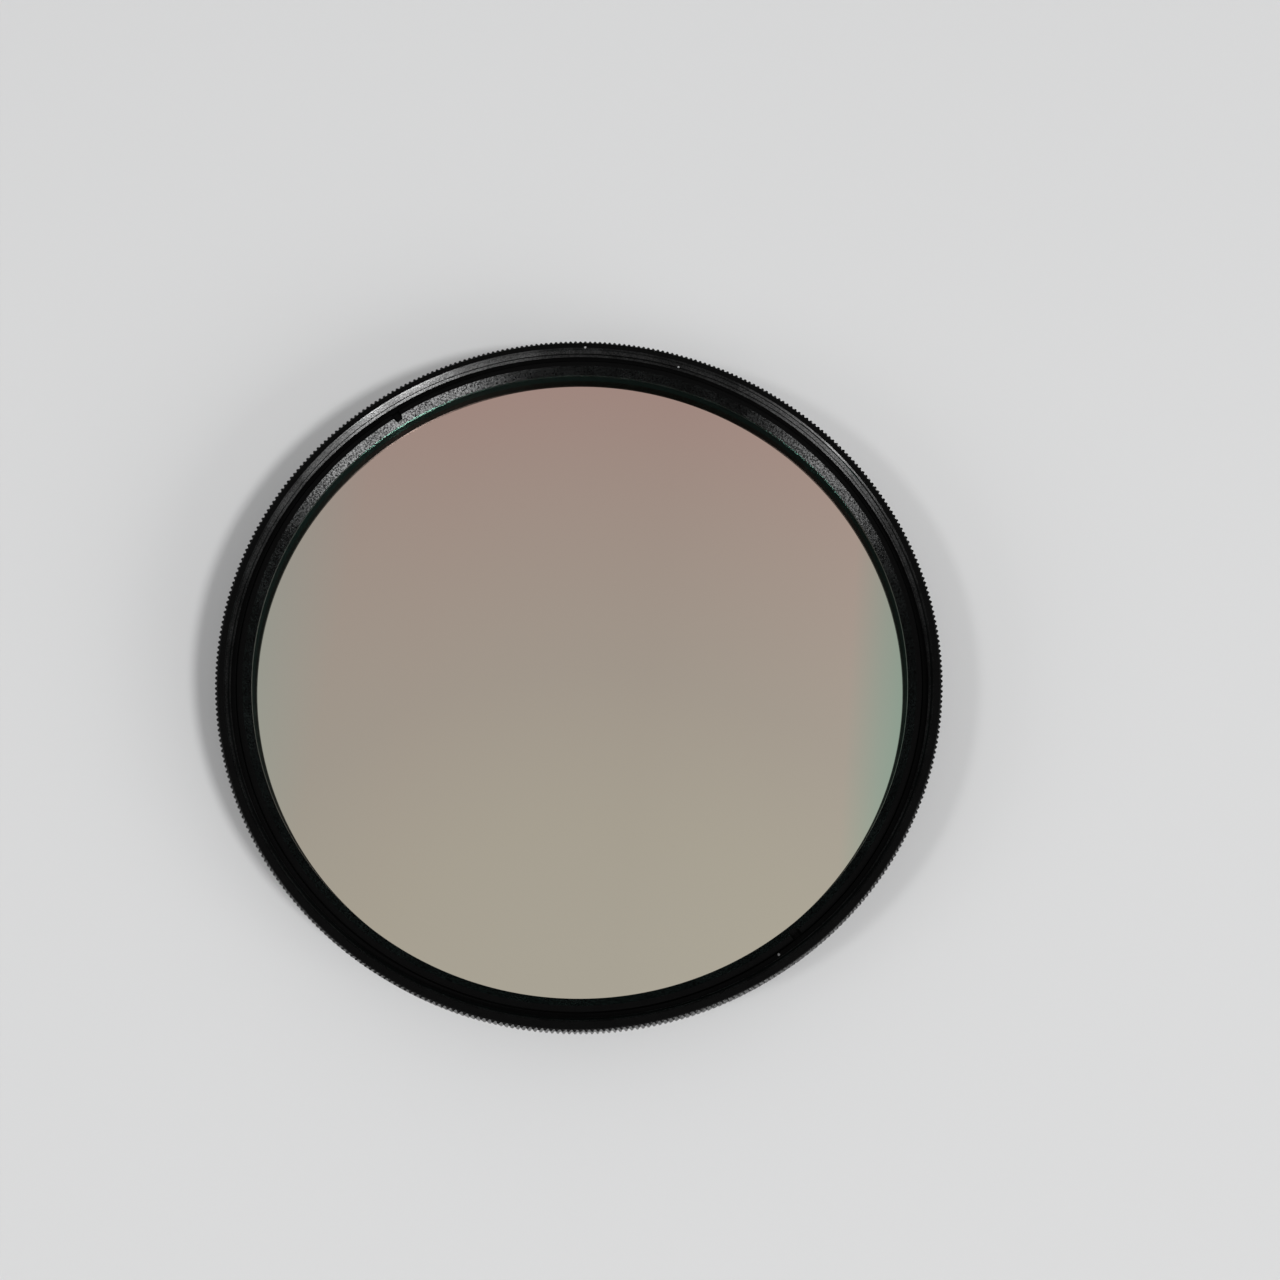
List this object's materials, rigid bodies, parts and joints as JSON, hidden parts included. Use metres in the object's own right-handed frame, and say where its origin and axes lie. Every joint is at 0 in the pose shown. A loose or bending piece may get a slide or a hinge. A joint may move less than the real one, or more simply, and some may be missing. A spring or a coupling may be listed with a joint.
{
  "type": "optical bandpass filter",
  "caption": "Round screw-in bandpass filter for a lens: mirror-coated glass clamped by a slotted retaining ring in a knurled black mount ring.",
  "frame": {"origin": "centre of the rear end face, in the plane that the filter lies on", "axes": "+Z along the optical axis, from the rear thread towards the front face; -Y is the side nearest the camera in the picture"},
  "size_m": [0.079, 0.079, 0.0074],
  "materials": {
    "black_anodised": "satin black anodised, turned",
    "black_blasted": "bead-blasted black anodised",
    "coated_glass": "polished, mirror-like interference coating"
  },
  "bodies": {
    "root": {"mount_ring": "black_anodised", "retaining_ring": "black_blasted", "filter_glass": "coated_glass"}
  },
  "joints": []
}
